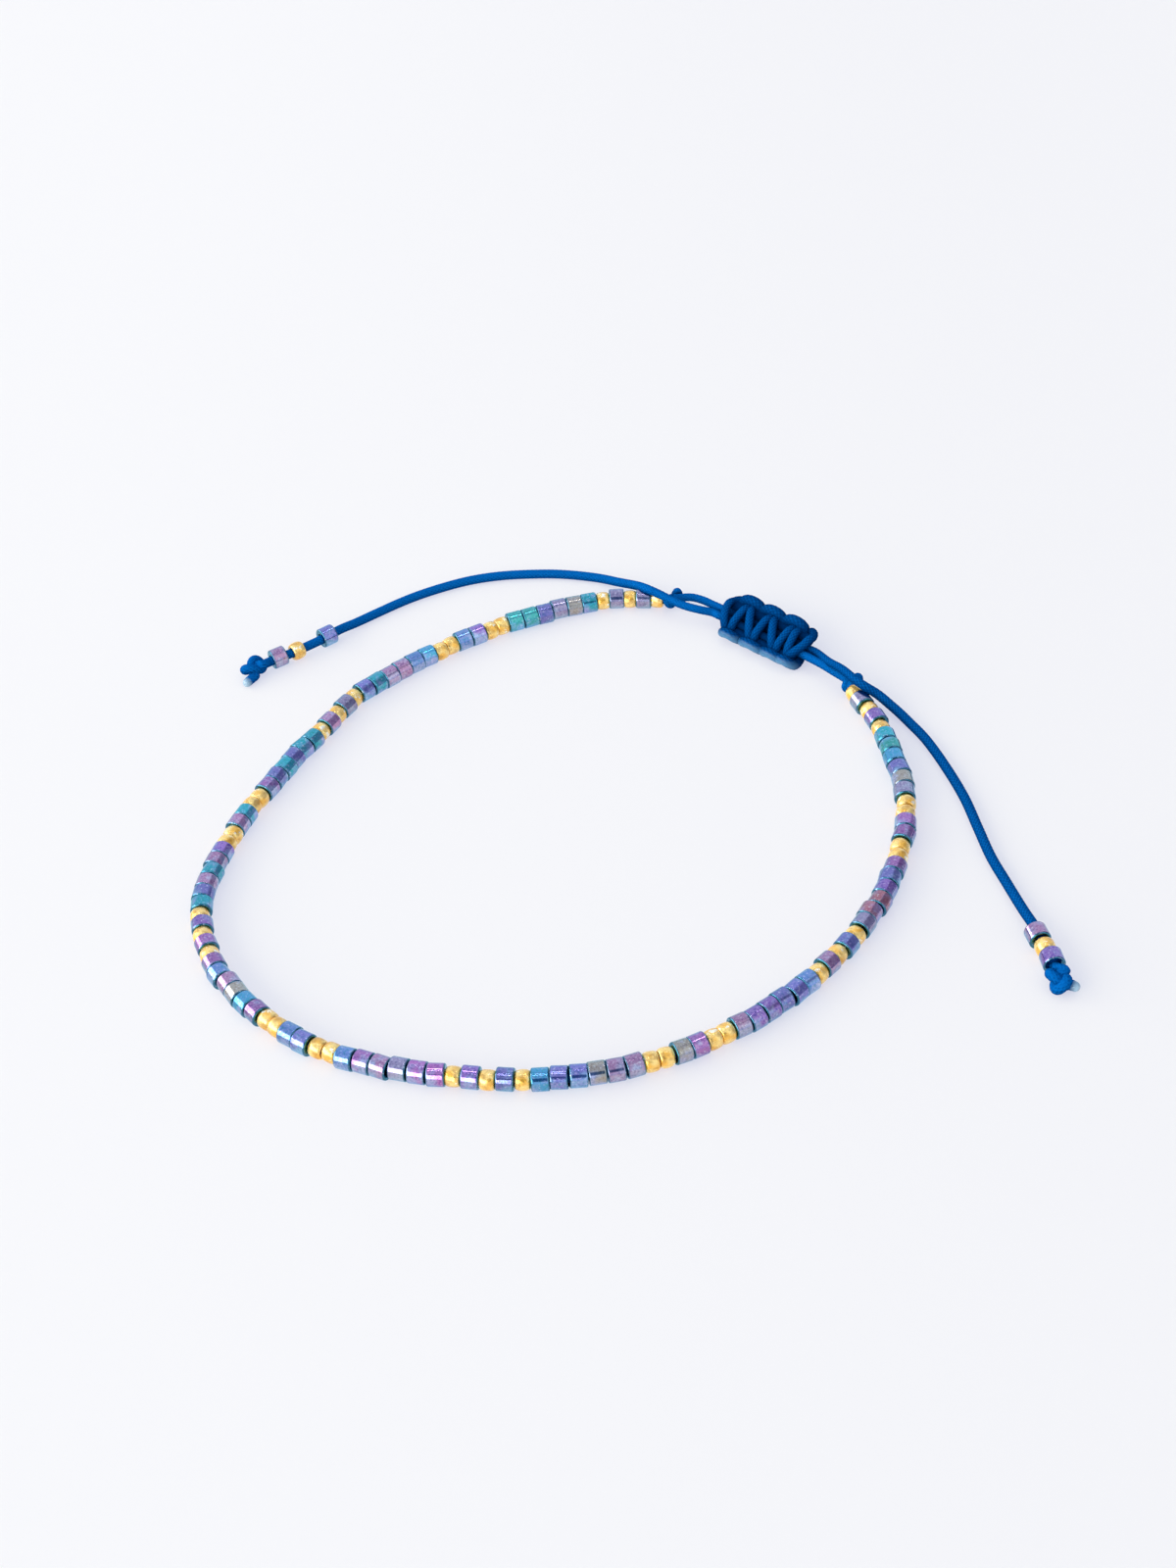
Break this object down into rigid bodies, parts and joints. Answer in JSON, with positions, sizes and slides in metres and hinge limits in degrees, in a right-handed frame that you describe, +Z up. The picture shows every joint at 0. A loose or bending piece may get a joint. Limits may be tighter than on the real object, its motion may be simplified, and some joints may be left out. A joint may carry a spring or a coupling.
{
  "type": "beaded cord bracelet",
  "caption": "Bracelet of lustre cylinder seed beads and gold round seed beads on a braided cord, closed by a square-knot slider with beaded tails, lying flat.",
  "frame": {"origin": "on the surface, under the middle of the loop's box, measured without the tails", "axes": "+Z up from the surface, +Y towards the back of the loop, +X to the viewer's right"},
  "size_m": [0.0641, 0.0627, 0.0026],
  "materials": {
    "bead_lustre": "opaque violet-blue glass with a metallic lustre that shifts to teal, mauve and lilac",
    "bead_gold": "bright gold plating on glass",
    "cord": "fine braided nylon with a soft sheen, deep blue"
  },
  "bodies": {
    "root": {"bead_string": "bead_lustre", "string_knot_left": "cord", "string_knot_right": "cord", "slider": "cord", "inner_cord_left": "cord", "inner_cord_right": "cord", "tail_cord_left": "cord", "tail_cord_right": "cord", "tail_bead_left_inner": "bead_lustre", "tail_bead_left_round": "bead_gold", "tail_bead_left_outer": "bead_lustre", "tail_bead_right_inner": "bead_lustre", "tail_bead_right_round": "bead_gold", "tail_bead_right_outer": "bead_lustre", "tail_knot_left": "cord", "tail_knot_right": "cord"}
  },
  "joints": []
}
